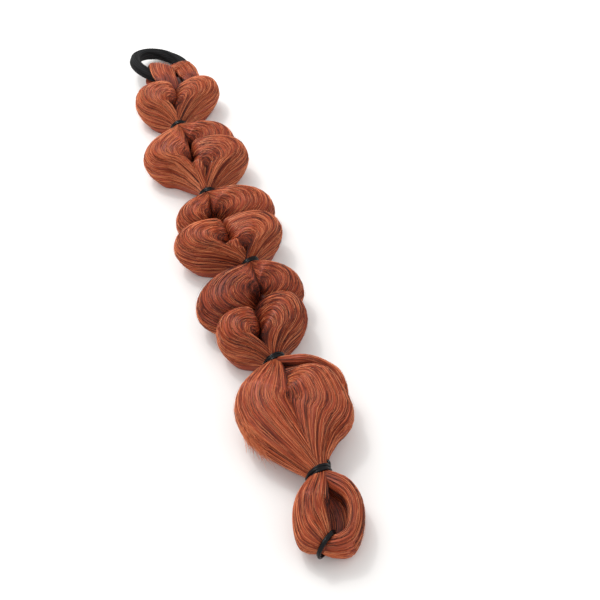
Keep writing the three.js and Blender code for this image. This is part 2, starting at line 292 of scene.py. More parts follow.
@dataclass
class Plait:
    """The run of the hair: where each strand lies, and the skins of the strands at any place."""

    gap: float = 0.6
    neck_half_length: float = 3.4
    lean_run: float = 14.0
    mid_share: float = 0.47
    lift_share: float = 0.2
    half_height_share: float = 0.36
    plaited_bubbles: int = 4
    first_phase: float = -1.5
    neck_lead: float = 0.65
    turn_angle: float = 60.0
    reach_in_path: float = 0.5
    swing_fullness: float = 0.25
    neck_spread: float = 0.55
    neck_lift: float = 0.5
    root_run: float = 9.0
    oval_power: float = 2.2
    blend_power: float = 9.0
    puff_power: float = 2.5
    open_ring: float = 1000.0
    puffed_ring: float = 90.0
    least_apart: float = 0.1
    least_facing: float = 1e-3
    least_step: float = 1e-6
    measured_sides: int = 32

    def __post_init__(self) -> None:
        """Works out the curves of the whole run from the tables."""
        ys = np.array([g.y for g in GATHERS])
        half = self.neck_half_length
        self.top = ys - np.where(np.arange(len(ys)) == 0, 0, half)
        self.bottom = np.append(ys[1:] + half, 0)
        self.fullest = np.array([b.fullest for b in BUBBLES])
        self.middle = (self.top + self.bottom) / 2
        self.spine = Curve(ys, [g.x for g in GATHERS])
        self.gather_z = Curve(ys, [g.z for g in GATHERS])
        self.gather_radius = Curve(ys, [g.radius for g in GATHERS])
        self.crest = Curve(self.middle, [b.crest for b in BUBBLES])
        tilts = np.array([g.slope for g in GATHERS])
        lean_ys = np.concatenate([ys + self.lean_run, ys, ys - self.lean_run])
        self.slope = Curve(lean_ys, np.concatenate([0 * tilts, tilts, 0 * tilts]))
        bubble = np.array([t.bubble for t in TURNS])
        turn_ys = mix(self.top[bubble], self.bottom[bubble], np.array([t.down for t in TURNS]))
        reach = np.array([t.reach for t in TURNS], float)
        order = np.arange(len(TURNS), dtype=float)
        necks = np.arange(1, self.plaited_bubbles + 1)
        neck_phase = [order[bubble < n].max() + self.neck_lead for n in necks]
        phase_ys = np.concatenate([turn_ys, ys[: self.plaited_bubbles + 1]])
        self.phase = Curve(phase_ys, np.concatenate([order, [self.first_phase], neck_phase]))
        self.reach_right = Curve(turn_ys[0::2], reach[0::2])
        self.reach_left = Curve(turn_ys[1::2], reach[1::2])
        self.plait_end = ys[self.plaited_bubbles]
        ends = {s: self.plaited(s, np.array([self.plait_end]))[:, 0] for s in Strand}
        self.loose = {s: self.loose_curves(LOOSE[s], ends[s]) for s in Strand}

    def loose_curves(self, rows: Sequence[Section], start: Array) -> list[Curve]:
        """Curves of a strand's middle and half sizes over its loose end, from the last plait."""
        table = np.array([(self.plait_end, *start), *rows])
        return [Curve(table[:, 0], table[:, column]) for column in range(1, 5)]

    def puff(self, y: Array) -> Array:
        """How far out the hair is puffed: a squared ellipse over each bubble.

        Args:
            y: places along the tail.

        Returns:
            From 0 at the necks to 1 where a bubble is fullest.
        """
        ys = np.array([g.y for g in GATHERS])
        bubble = np.maximum((y[:, None] <= ys).sum(axis=1) - 1, 0)
        down = (self.top[bubble] - y) / (self.top[bubble] - self.bottom[bubble])
        full = self.fullest[bubble]
        across = np.where(down < full, 1 - down / full, (down - full) / (1 - full))
        return np.sqrt(1 - np.clip(across, 0, 1) ** self.puff_power)

    def plaited(self, strand: Strand, y: Array) -> Array:
        """Middle and half sizes of a plaited strand.

        The middle swings from side to side as a sine of the phase, and rises and falls as a sine
        of twice the phase, so that a strand goes out in front and comes back behind.

        Args:
            strand: which strand.
            y: places along the tail.

        Returns:
            Rows of x, z, half width and half height, one column for each place.
        """
        puff = self.puff(y)
        angle = np.radians(strand.value + self.turn_angle * self.phase(y))
        swing = np.sin(angle) * (1 + self.swing_fullness * np.cos(angle) ** 2)
        left, right = self.reach_left(y), self.reach_right(y)
        reach = np.where(swing > 0, right, left)
        even_reach = mix(left, right, (swing + 1) / 2)
        neck = self.gather_radius(y)
        height = self.crest(y)
        lift = mix(self.neck_lift * neck, height * self.lift_share, puff)
        return np.stack([
            self.spine(y) + mix(self.neck_spread * neck, reach * self.reach_in_path, puff) * swing,
            mix(self.gather_z(y), height * self.mid_share, puff) + np.sin(2 * angle) * lift,
            mix(neck, even_reach * (1 - self.reach_in_path), puff),
            mix(neck, height * self.half_height_share, puff),
        ])

    def path(self, strand: Strand, y: Array) -> Array:
        """Middle and half sizes of a strand over its whole length: rooted, plaited, then loose.

        Args:
            strand: which strand.
            y: places along the tail.

        Returns:
            Rows of x, z, half width and half height, one column for each place.
        """
        plaited = self.plaited(strand, y)
        root = np.array(ROOTS[strand][1:])[:, None]
        rooted = mix(plaited, root, smooth(GATHERS[0].y - self.root_run, GATHERS[0].y, y))
        loose = np.stack([curve(y) for curve in self.loose[strand]])
        return np.where(y < self.plait_end, loose, rooted)

    def sections(self, strand: Strand, y: Array, sides: int) -> Array:
        """Rings of a strand's skin, each in the upright plane of its place, leaning at the necks.

        One way out from the strand's middle, the skin is at the least of its own oval, the seams
        half way to the other strands and the gather's ring, blended by a power mean.

        Args:
            strand: which strand.
            y: places along the tail.
            sides: points on each ring.

        Returns:
            The rings' points.
        """
        x, z, half_width, half_height = self.path(strand, y)[:, :, None]
        angle = TURN * np.arange(OUTLINE_STEPS) / OUTLINE_STEPS
        across, up = np.cos(angle), np.sin(angle)
        p, b = self.oval_power, self.blend_power
        oval = (np.abs(across / half_width) ** p + np.abs(up / half_height) ** p) ** (-1 / p)
        pull = oval**-b
        for other in Strand:
            if other is not strand:
                ox, oz = self.path(other, y)[:2, :, None]
                apart = np.hypot(ox - x, oz - z)
                toward = ((ox - x) * across + (oz - z) * up) / apart
                seam = np.maximum(apart - self.gap, self.least_apart) / 2
                pull = pull + (seam / np.maximum(toward, self.least_facing)) ** -b
        outside = (y > self.middle[0]) | (y < self.middle[-1])
        ring = np.where(outside, self.open_ring, self.gather_radius(y) + self.puffed_ring * self.puff(y))
        dx, dz = x - self.spine(y)[:, None], z - self.gather_z(y)[:, None]
        along = dx * across + dz * up
        pull = pull + (np.sqrt(along**2 + ring[:, None] ** 2 - dx**2 - dz**2) - along) ** -b
        out = pull ** (-1 / b)
        outlines = np.stack([x + out * across, np.maximum(z + out * up, 0)], axis=-1)
        found_x, found_z = np.moveaxis(evenly_round(outlines, sides), -1, 0)
        lean = y[:, None] + (found_x - self.spine(y)[:, None]) * self.slope(y)[:, None]
        return np.stack([found_x, lean, found_z], axis=-1)

    def places(self, strand: Strand, count: int) -> Array:
        """Places along a strand, a steady distance apart on its skin rather than along the tail.

        Args:
            strand: which strand.
            count: how many places.

        Returns:
            The places along the tail.
        """
        even = np.linspace(0, 1, OUTLINE_STEPS // 2)
        crowded = (1 - np.cos(math.pi * even)) / 2
        dense = np.concatenate([mix(t, b, crowded) for t, b in zip(self.top, self.bottom)])
        dense = dense[dense >= LOOSE[strand][-1].y]
        rings = self.sections(strand, dense, self.measured_sides)
        step = np.linalg.norm(np.diff(rings, axis=0), axis=-1).mean(axis=1)
        run = np.concatenate([[0], np.cumsum(step + self.least_step)])
        return np.interp(np.linspace(0, run[-1], count), run, dense)


# Skins, tubes and meshes


@dataclass
class Skin:
    """A closed sleeve of hair, as rings of points along it."""

    points: Array

    @cached_property
    def normals(self) -> Array:
        """Outward normals: the way round crossed with the way along."""
        around = np.roll(self.points, -1, axis=1) - np.roll(self.points, 1, axis=1)
        return unit(np.cross(around, np.gradient(self.points, axis=0)))

    @cached_property
    def travel(self) -> Array:
        """Distance along the sleeve to each ring, as the mean over its points."""
        step = np.linalg.norm(np.diff(self.points, axis=0), axis=-1).mean(axis=1)
        return np.concatenate([[0], np.cumsum(step)])

    @cached_property
    def girth(self) -> Array:
        """Distance round each ring."""
        steps = np.roll(self.points, -1, axis=1) - self.points
        return np.linalg.norm(steps, axis=-1).sum(axis=1)

    @property
    def turns(self) -> Array:
        """Share of the way round, for the points of a ring."""
        return np.arange(self.points.shape[1]) / self.points.shape[1]

    def raised(self, height: Array) -> "Skin":
        """The sleeve with each point moved out along its normal, but not below the table.

        Args:
            height: how far each point moves.

        Returns:
            The new sleeve.
        """
        points = self.points + height[..., None] * self.normals
        points[..., 2] = np.maximum(points[..., 2], 0)
        return Skin(points)

    def at(self, row: Array, turn: Array) -> tuple[Array, Array]:
        """Points and normals between the sleeve's own points, by straight lines both ways.

        Args:
            row: places along the sleeve, counted in rings.
            turn: places round the sleeve, in turns.

        Returns:
            The points and the normals.
        """
        rows, sides = self.points.shape[:2]
        i = np.clip(row.astype(int), 0, rows - 2)
        place = (turn % 1.0) * sides
        j = place.astype(int) % sides
        k = (j + 1) % sides
        both = np.concatenate([self.points, self.normals], axis=-1)
        part = (place - np.floor(place))[..., None]
        found = mix(mix(both[i, j], both[i, k], part), mix(both[i + 1, j], both[i + 1, k], part),
                    (row - i)[..., None])
        return found[..., :3], unit(found[..., 3:])

    def flow(self, start: float) -> Array:
        """Coordinates that run with the hair: a circle of the full girth round, shortened along.

        Args:
            start: coordinate along the hair at the first ring.

        Returns:
            Three coordinates for each point.
        """
        radius = FULL_GIRTH / TURN
        angle = TURN * self.turns
        shape = self.points.shape[:2]
        return np.stack([
            np.broadcast_to(radius * np.cos(angle), shape),
            np.broadcast_to(radius * np.sin(angle), shape),
            np.broadcast_to((start + self.travel / FLOW_STRETCH)[:, None], shape),
        ], axis=-1)


class Faces(NamedTuple):
    """Faces of a mesh as arrays of corners: four-sided ones and triangles."""

    quads: Array
    triangles: Array


def sleeve_faces(rows: int, sides: int, looped: bool) -> Faces:
    """Faces of a sleeve of rings, closed by a flat end at each end or joined into a loop.

    Args:
        rows: rings along the sleeve.
        sides: points on each ring.
        looped: whether the last ring joins the first.

    Returns:
        The faces, turned so that they point outwards.
    """
    i, j = np.meshgrid(np.arange(rows if looped else rows - 1), np.arange(sides), indexing="ij")
    a, b = i * sides + j, i * sides + (j + 1) % sides
    c, d = (b + sides) % (rows * sides), (a + sides) % (rows * sides)
    quads = np.stack([a, b, c, d], axis=-1).reshape(-1, 4)
    if looped:
        return Faces(quads, np.zeros((0, 3), int))
    k = np.arange(1, sides - 1)
    first = np.stack([0 * k, k + 1, k], axis=-1)
    last = np.stack([0 * k, k, k + 1], axis=-1) + (rows - 1) * sides
    return Faces(quads, np.concatenate([first, last]))


def tubes(centres: Array, out: Array, radius: Array, sides: int) -> Array:
    """Rings of points round many paths at once: the centre, plus a circle across the way along.

    Args:
        centres: points of the paths, as paths, points and xyz.
        out: a way out at each point, roughly across the path.
        radius: radius of the tube at each point.
        sides: points on each ring.

    Returns:
        Points as paths, points, sides and xyz.
    """
    along = unit(np.gradient(centres, axis=1))
    side = unit(np.cross(along, out))
    out = np.cross(side, along)
    angle = (TURN * np.arange(sides) / sides)[:, None]
    circle = np.cos(angle) * out[:, :, None, :] + np.sin(angle) * side[:, :, None, :]
    return centres[:, :, None, :] + radius[:, :, None, None] * circle


def many(faces: Faces, copies: int, points: int) -> Faces:
    """The same faces repeated for several runs of points."""
    step = (np.arange(copies) * points)[:, None, None]
    return Faces(*[(f + step).reshape(-1, f.shape[-1]) for f in faces])


def domed(points: Array, first: float, last: float, steps: int) -> Array:
    """Rings with a quarter-round added at both ends, where the ring shrinks to its middle.

    Args:
        points: rings of points.
        first: how far the round goes beyond the first ring.
        last: how far it goes beyond the last ring.
        steps: rings in each round.

    Returns:
        The rings with those of the rounds before and after them.
    """
    angle = np.linspace(0, math.pi / 2, steps + 1)[1:, None, None]
    caps = []
    for depth, end, before in ((first, points[0], points[1]), (last, points[-1], points[-2])):
        middle = end.mean(axis=0)
        push = unit((end - before).mean(axis=0)) * depth
        caps.append(middle + (end - middle) * np.maximum(np.cos(angle), DOME_TIP) + push * np.sin(angle))
    return np.concatenate([caps[0][::-1], points, caps[1]])


class Maker:
    """Puts arrays into Blender as pieces of the object, in the frame's place and units."""

    def __init__(self) -> None:
        """Finds the frame's origin in the tail's own places, from the box of the first elastic."""
        low, high = (np.array(corner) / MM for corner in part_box("small_elastic_1"))
        first = GATHERS[1]
        self.origin = np.array([first.x, first.y, first.z]) - (low + high) / 2

    def piece(self, name: str, points: Array, faces: Faces, material: bpy.types.Material, slot: str,
              replaces: Sequence[str] = (), **carried: Array) -> None:
        """Makes one piece from its points and faces.

        Args:
            name: the piece's name.
            points: places in millimetres, with xyz last.
            faces: the faces' corners.
            material: the finish.
            slot: the record's material slot, which is not used.
            replaces: nodes of the frame that the piece stands for.
            carried: attributes of the points, as numbers or vectors.
        """
        flat = (points.reshape(-1, 3) - self.origin) * MM
        mesh = bpy.data.meshes.new(name)
        corners = np.concatenate([faces.quads.ravel(), faces.triangles.ravel()])
        sizes = np.repeat([4, 3], [len(faces.quads), len(faces.triangles)])
        mesh.vertices.add(len(flat))
        mesh.vertices.foreach_set("co", flat.astype(np.float32).ravel())
        mesh.loops.add(len(corners))
        mesh.loops.foreach_set("vertex_index", corners.astype(np.int32))
        mesh.polygons.add(len(sizes))
        mesh.polygons.foreach_set("loop_start", (np.cumsum(sizes) - sizes).astype(np.int32))
        mesh.update(calc_edges=True)
        mesh.shade_smooth()
        for title, values in carried.items():
            vector = values.ndim > 1 and values.shape[-1] == 3
            kind = "FLOAT_VECTOR" if vector else "FLOAT"
            data = mesh.attributes.new(title, kind, "POINT").data
            data.foreach_set("vector" if vector else "value", values.astype(np.float32).ravel())
        mesh.materials.append(material)
        made = bpy.data.objects.new(name, mesh)
        bpy.context.scene.collection.objects.link(made)
        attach(made, BODY)
        if replaces:
            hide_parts(*replaces)
        triangles = 2 * len(faces.quads) + len(faces.triangles)
        log.info("%s: %d triangles", name, triangles)

    def hairs(self, name: str, centres: Array, out: Array, radius: Array, tone: Array,
              material: bpy.types.Material) -> None:
        """Makes many single hairs as one piece of thin tubes.

        Args:
            name: the piece's name.
            centres: points of the hairs, as hairs, points and xyz.
            out: a way out at each point.
            radius: radius at each point.
            tone: tone at each point.
            material: finish of the single hairs.
        """
        count, steps = radius.shape
        faces = many(sleeve_faces(steps, HAIR_SIDES, looped=False), count, steps * HAIR_SIDES)
        self.piece(name, tubes(centres, out, radius, HAIR_SIDES), faces, material, "synthetic_hair",
                   tone=np.repeat(tone, HAIR_SIDES, axis=1).ravel())


# Finishes


def linear(colour: str) -> tuple[float, float, float, float]:
    """An sRGB hex colour in linear light, by the standard curve.

    Args:
        colour: the hex value, with its mark in front.

    Returns:
        Red, green, blue and alpha.
    """
    parts = np.array([int(colour[i:i + 2], 16) for i in (1, 3, 5)]) / 255
    red, green, blue = np.where(parts <= 0.04045, parts / 12.92, ((parts + 0.055) / 1.055) ** 2.4)
    return float(red), float(green), float(blue), 1.0


def add_node(tree: bpy.types.NodeTree, kind: str, settings: dict | None = None,
             sockets: dict | None = None) -> bpy.types.Node:
    """Adds a node, with its settings, and sets or links its input sockets.

    Args:
        tree: the material's node tree.
        kind: Blender's name for the node.
        settings: properties of the node.
        sockets: inputs by name or number, each a value or another node's output.

    Returns:
        The node.
    """
    node = tree.nodes.new(kind)
    for name, value in (settings or {}).items():
        setattr(node, name, value)
    for name, value in (sockets or {}).items():
        if isinstance(value, bpy.types.NodeSocket):
            tree.links.new(value, node.inputs[name])
        else:
            node.inputs[name].default_value = value
    return node


def new_material(name: str) -> bpy.types.Material:
    """An empty node material.

    Args:
        name: the material's name.

    Returns:
        The material.
    """
    material = bpy.data.materials.new(name)
    material.use_nodes = True
    material.node_tree.nodes.clear()
    return material


def finish_with(material: bpy.types.Material, sockets: dict) -> bpy.types.Material:
    """Ends a material with a Principled shader.

    Args:
        material: the material.
        sockets: the shader's inputs, each a value or another node's output.

    Returns:
        The same material.
    """
    tree = material.node_tree
    shader = add_node(tree, "ShaderNodeBsdfPrincipled", sockets=sockets)
    add_node(tree, "ShaderNodeOutputMaterial", sockets={"Surface": shader.outputs["BSDF"]})
    return material


def paint(ramp: bpy.types.Node, places: Sequence[float], colours: Sequence[str]) -> None:
    """Sets the stops of a colour ramp.

    Args:
        ramp: the ramp, which still has its first two stops.
        places: places of the stops, from the lowest.
        colours: their hex colours.
    """
    stops = ramp.color_ramp.elements
    for place in places[1:-1]:
        stops.new(place)
    for stop, place, colour in zip(stops, places, colours):
        stop.position = place
        stop.color = linear(colour)


@dataclass(frozen=True)
class HairFinish:
    """Synthetic braiding hair: fine drawn fibres, dyed copper, with a soft silky gloss.

    The fibres give the eye long streaks of light and dark copper that run with the hair. Real ones
    are too fine to show, so the pattern is as coarse as it needs to be.
    """

    deep: str = "#34100B"
    shade: str = "#802E18"
    body: str = "#BB5228"
    light: str = "#E99061"
    roughness: float = 0.45
    sheen: float = 0.03
    specular: float = 0.35
    fibre_mm: float = 0.55
    fibre_detail: float = 3.0
    fibre_contrast: float = 0.65
    lock_mm: float = 1.9
    lock_detail: float = 1.0
    lock_weight: float = 0.15
    # How far the painted shade darkens the skins' tone
    crease_tone: float = 0.15
    relief: float = 0.6
    relief_mm: float = 0.22
    streak_stops: tuple[float, ...] = (0.2, 0.42, 0.65, 0.92)
    single_stops: tuple[float, ...] = (0.0, 0.22, 0.52, 0.92)

    @property
    def tones(self) -> tuple[str, ...]:
        """Colours of the hair, from the deepest to the lightest."""
        return self.deep, self.shade, self.body, self.light

    @property
    def gloss(self) -> dict:
        """Shader sockets that all the hair shares."""
        return {"Roughness": self.roughness, "Sheen Weight": self.sheen,
                "Sheen Tint": linear(self.light), "Specular IOR Level": self.specular}

    def streaked(self, name: str) -> bpy.types.Material:
        """Finish of the skins, whose streaks and fine relief follow the flow attribute.

        The tone is a weighted sum of fine and coarse noise, less by the painted shade in the ridges'
        valleys, over the core and where a lock goes under.

        Args:
            name: the material's name.

        Returns:
            The material.
        """
        material = new_material(name)
        tree = material.node_tree
        flow = add_node(tree, "ShaderNodeAttribute", {"attribute_name": "flow"}).outputs["Vector"]
        # Painted shade of the skins: deeper in the ridges' valleys, over the core and where a lock goes
        # under
        crease = add_node(tree, "ShaderNodeAttribute", {"attribute_name": "crease"}).outputs["Fac"]
        fibre = add_node(tree, "ShaderNodeTexNoise", sockets={
            "Vector": flow, "Scale": 1 / self.fibre_mm, "Detail": self.fibre_detail,
            "Roughness": self.fibre_contrast}).outputs["Fac"]
        lock = add_node(tree, "ShaderNodeTexNoise", sockets={
            "Vector": flow, "Scale": 1 / self.lock_mm, "Detail": self.lock_detail}).outputs["Fac"]
        fibres = add_node(tree, "ShaderNodeMath", {"operation": "MULTIPLY"}, {
            0: fibre, 1: 1 - self.lock_weight}).outputs[0]
        both = add_node(tree, "ShaderNodeMath", {"operation": "MULTIPLY_ADD"}, {
            0: lock, 1: self.lock_weight, 2: fibres}).outputs[0]
        tone = add_node(tree, "ShaderNodeMath", {"operation": "MULTIPLY_ADD"}, {
            0: crease, 1: -self.crease_tone, 2: both}).outputs[0]
        ramp = add_node(tree, "ShaderNodeValToRGB", sockets={"Fac": tone})
        paint(ramp, self.streak_stops, self.tones)
        bump = add_node(tree, "ShaderNodeBump", sockets={
            "Height": fibre, "Strength": self.relief, "Distance": self.relief_mm * MM})
        return finish_with(material, {
            "Base Color": ramp.outputs["Color"], "Normal": bump.outputs["Normal"], **self.gloss})

    def single(self, name: str) -> bpy.types.Material:
        """Finish of single hairs, each with its own tone, to which painted light and shade are added.

        Args:
            name: the material's name.

        Returns:
            The material.
        """
        material = new_material(name)
        tree = material.node_tree
        tone = add_node(tree, "ShaderNodeAttribute", {"attribute_name": "tone"}).outputs["Fac"]
        ramp = add_node(tree, "ShaderNodeValToRGB", sockets={"Fac": tone})
        paint(ramp, self.single_stops, self.tones)
        return finish_with(material, {"Base Color": ramp.outputs["Color"], **self.gloss})


@dataclass(frozen=True)
class CottonFinish:
    """Black knitted cotton over elastic: matt, with lint and painted sheen on the raised ribs, painted
    shade between.
    """

    thread: str = "#060607"
    lint_and_painted_sheen: str = "#2A2B2E"
    roughness: float = 0.85
    sheen: float = 0.03
    specular: float = 0.25
    lint_mm: float = 0.5
    lint_detail: float = 2.0
    relief: float = 0.5
    relief_mm: float = 0.15

    def material(self, name: str) -> bpy.types.Material:
        """Finish of the tie, lighter with lint and painted sheen on the raised threads, with painted
        shade in the valleys and creases.

        Args:
            name: the material's name.

        Returns:
            The material.
        """
        material = new_material(name)
        tree = material.node_tree
        where = add_node(tree, "ShaderNodeTexCoord").outputs["Object"]
        lint = add_node(tree, "ShaderNodeTexNoise", sockets={
            "Vector": where, "Scale": 1 / (self.lint_mm * MM), "Detail": self.lint_detail})
        # The raised share carries the painted sheen on raised threads and the painted shade in valleys
        # and creases
        raised = add_node(tree, "ShaderNodeAttribute", {"attribute_name": "raised"}).outputs["Fac"]
        share = add_node(tree, "ShaderNodeMath", {"operation": "MULTIPLY"}, {
            0: raised, 1: lint.outputs["Fac"]}).outputs[0]
        colour = add_node(tree, "ShaderNodeValToRGB", sockets={"Fac": share})
        paint(colour, (0.0, 1.0), (self.thread, self.lint_and_painted_sheen))
        bump = add_node(tree, "ShaderNodeBump", sockets={
            "Height": lint.outputs["Fac"], "Strength": self.relief, "Distance": self.relief_mm * MM})
        return finish_with(material, {
            "Base Color": colour.outputs["Color"], "Normal": bump.outputs["Normal"],
            "Roughness": self.roughness, "Sheen Weight": self.sheen,
            "Specular IOR Level": self.specular})


@dataclass(frozen=True)
class RubberFinish:
    """Black stretched rubber: smooth and fairly glossy, so that it takes small white glints."""

    body: str = "#060607"
    worn: str = "#121315"
    roughness: float = 0.12
    specular: float = 0.18
    scuff_mm: float = 1.6
    scuff_detail: float = 2.0

    def material(self, name: str) -> bpy.types.Material:
        """Finish of the small elastics, a little greyer where the rubber is scuffed.

        Args:
            name: the material's name.

        Returns:
            The material.
        """
        material = new_material(name)
        tree = material.node_tree
        where = add_node(tree, "ShaderNodeTexCoord").outputs["Object"]
        scuff = add_node(tree, "ShaderNodeTexNoise", sockets={
            "Vector": where, "Scale": 1 / (self.scuff_mm * MM), "Detail": self.scuff_detail})
        colour = add_node(tree, "ShaderNodeValToRGB", sockets={"Fac": scuff.outputs["Fac"]})
        paint(colour, (0.0, 1.0), (self.body, self.worn))
        return finish_with(material, {
            "Base Color": colour.outputs["Color"], "Roughness": self.roughness,
            "Specular IOR Level": self.specular})


# Locks of hair


# Power of a ridge's |cos|, its mean, and the least share of the height that is left at a neck
RIDGE_POWER = 0.7
RIDGE_MEAN = 0.7
RIDGE_LEAST = 0.05


class Ridge(NamedTuple):
    """A set of ridges round a lock: their number, height, wander from side to side, and its length."""

    count: int
    height: float
    wander: float
    run: float


def ridged(skin: Skin, ridges: Sequence[Ridge], seed: int) -> Array:
    """Height of the ridges on a skin: a sum of rounded ridges with sharp valleys.

    Each set is a power under 1 of |cos| of its number of half turns, drifting by a slow sine of the
    way along, so that ridges wander and merge. The height falls with the girth towards the necks.

    Args:
        skin: the bare skin.
        ridges: the sets of ridges.
        seed: seed of their places.

    Returns:
        The height at each point, about zero on average.
    """
    draw = np.random.default_rng(seed)
    height = np.zeros(skin.points.shape[:2])
    for ridge in ridges:
        start, lead = draw.uniform(0, TURN, 2)
        drift = ridge.wander * np.sin(TURN * skin.travel / ridge.run + lead)[:, None]
        wave = np.abs(np.cos(math.pi * ridge.count * skin.turns + start + drift))
        height += ridge.height * (wave**RIDGE_POWER - RIDGE_MEAN)
    return height * np.clip(skin.girth / FULL_GIRTH, RIDGE_LEAST, 1.0)[:, None]


class Ending(NamedTuple):
    """The end of a lock: its middle's height, half its thickness, its round end's reach, its painted
    shadow.
    """

    height: float
    half: float
    dome: float
    painted_dark: float


class End(Enum):
    """How a lock ends: gathered by a band, as a nose at the seam, high or low, or tucked under."""

    GATHERED = Ending(17.5, 5.0, 2.0, 0.5)
    NOSE = Ending(21.0, 15.5, 5.0, 0.2)
    LOW_NOSE = Ending(15.0, 12.0, 5.0, 0.9)
    TUCKED = Ending(12.0, 9.0, 3.0, 0.6)


class Spot(NamedTuple):
    """A place on the table, seen from above."""

    x: float
    y: float


class Lock(NamedTuple):
    """A lock of hair pulled out into half a round cushion.

    Its outermost hair goes from start, round turn, to end, and the others bend round middle inside
    it. Inner is the share of the way from middle at which the innermost hair lies. A power over 2
    makes the outline's upper or lower half squarer. Where an end is gathered, its hairs draw
    together from the given share of the way between turn and end, and inner ones sooner at the end.
    Crest and floor are its highest and lowest. A lock that comes back goes up into its last band.
    Shade is painted shade: how much darker its hair is drawn than the rest, and painted light below
    zero.
    """

    bubble: int
    strand: Strand
    start_as: End
    start: Spot
    turn: Spot
    end: Spot
    end_as: End
    middle: Spot
    crest: float
    floor: float = -2.5
    inner: float = 0.05
    upper: float = 2.2
    lower: float = 2.2
    start_draw: float = 0.7
    end_draw: float = 0.7
    comes_back: bool = False
    shade: float = 0.0


# Short names for the table of locks
N, G, T, W = End.NOSE, End.GATHERED, End.TUCKED, End.LOW_NOSE
LEFT, BACK, RIGHT = Strand

# A lock's shade paints it darker where less light reaches it, or lighter where it is below zero
# Columns: bubble, strand, how it starts, start, turn, end, how it ends, middle, crest
LOCKS = (
    Lock(1, LEFT, W, Spot(2, 446), Spot(30.5, 435), Spot(2, 414), G, Spot(-12, 409), 33),
    Lock(1, BACK, N, Spot(-11, 441), Spot(-37.5, 432), Spot(-13, 408), G, Spot(-9, 413), 34,
         shade=-0.08),
    Lock(2, RIGHT, G, Spot(-3, 389), Spot(29, 374), Spot(-2, 352), T, Spot(-9, 368), 33, start_draw=0.8),
    Lock(2, LEFT, G, Spot(-14, 388), Spot(-44, 365), Spot(-12, 352), G, Spot(-9, 348), 36,
         upper=1.9, start_draw=0.8, shade=-0.08),
    Lock(2, BACK, N, Spot(-3, 371), Spot(34.5, 356), Spot(3, 333), G, Spot(-4, 335), 37),
    Lock(2, LEFT, T, Spot(3, 352), Spot(1, 338), Spot(-3, 327), G, Spot(-12, 342), 34),
    Lock(3, LEFT, G, Spot(4, 316), Spot(40.5, 295), Spot(4, 280), T, Spot(-8, 291), 35,
         upper=2.5, start_draw=0.8),
    Lock(3, BACK, G, Spot(-10, 310), Spot(-33.5, 295), Spot(-8, 279), T, Spot(-8, 289), 34, upper=1.9),
    Lock(3, RIGHT, N, Spot(-1, 284), Spot(38.5, 277), Spot(16, 252), G, Spot(7, 248), 38),
    Lock(3, LEFT, N, Spot(-7, 286), Spot(-40, 268), Spot(0, 252), G, Spot(-4, 257), 38),
    Lock(3, LEFT, T, Spot(8, 263), Spot(9, 252), Spot(9, 247), G, Spot(-7, 255), 35),
    Lock(4, BACK, G, Spot(11, 238), Spot(40.5, 214), Spot(12, 200), T, Spot(7, 211), 35,
         start_draw=0.8, shade=0.15),
    Lock(4, RIGHT, G, Spot(4, 236), Spot(-37, 212), Spot(-4, 190), T, Spot(9, 207), 37,
         start_draw=0.8, shade=0.2),
    Lock(4, LEFT, W, Spot(9, 212), Spot(36.5, 191), Spot(9, 166), G, Spot(-3, 167), 37, shade=0.12),
    Lock(4, BACK, N, Spot(-4, 199), Spot(-29, 181), Spot(-2, 162), G, Spot(-4, 169), 38, shade=0.05),
    Lock(5, LEFT, G, Spot(-3, 146), Spot(-32, 115), Spot(-1, 73), G, Spot(9, 112), 38,
         upper=1.7, start_draw=0.4, end_draw=0.15),
    Lock(5, RIGHT, W, Spot(6, 147), Spot(44.5, 110), Spot(13, 83), G, Spot(-4, 115), 38,
         upper=3.4, end_draw=0.65),
    Lock(5, RIGHT, G, Spot(10, 147), Spot(42.5, 132), Spot(41, 109), T, Spot(13, 112), 31,
         floor=12, inner=0.78, upper=2.6, lower=1.4),
    Lock(6, LEFT, G, Spot(2, 56), Spot(-16, 29), Spot(-6, 9), G, Spot(10, 35), 30,
         start_draw=0.4, end_draw=0.4),
    Lock(6, RIGHT, G, Spot(14, 58), Spot(30.5, 30), Spot(2, -2), G, Spot(8, 27), 24,
         inner=0.5, upper=1.8, start_draw=0.55, end_draw=0.6, comes_back=True),
    Lock(6, BACK, G, Spot(10, 57), Spot(25, 30), Spot(6, 5), G, Spot(-6, 28), 14,
         end_draw=0.85, comes_back=True, shade=0.5),
)


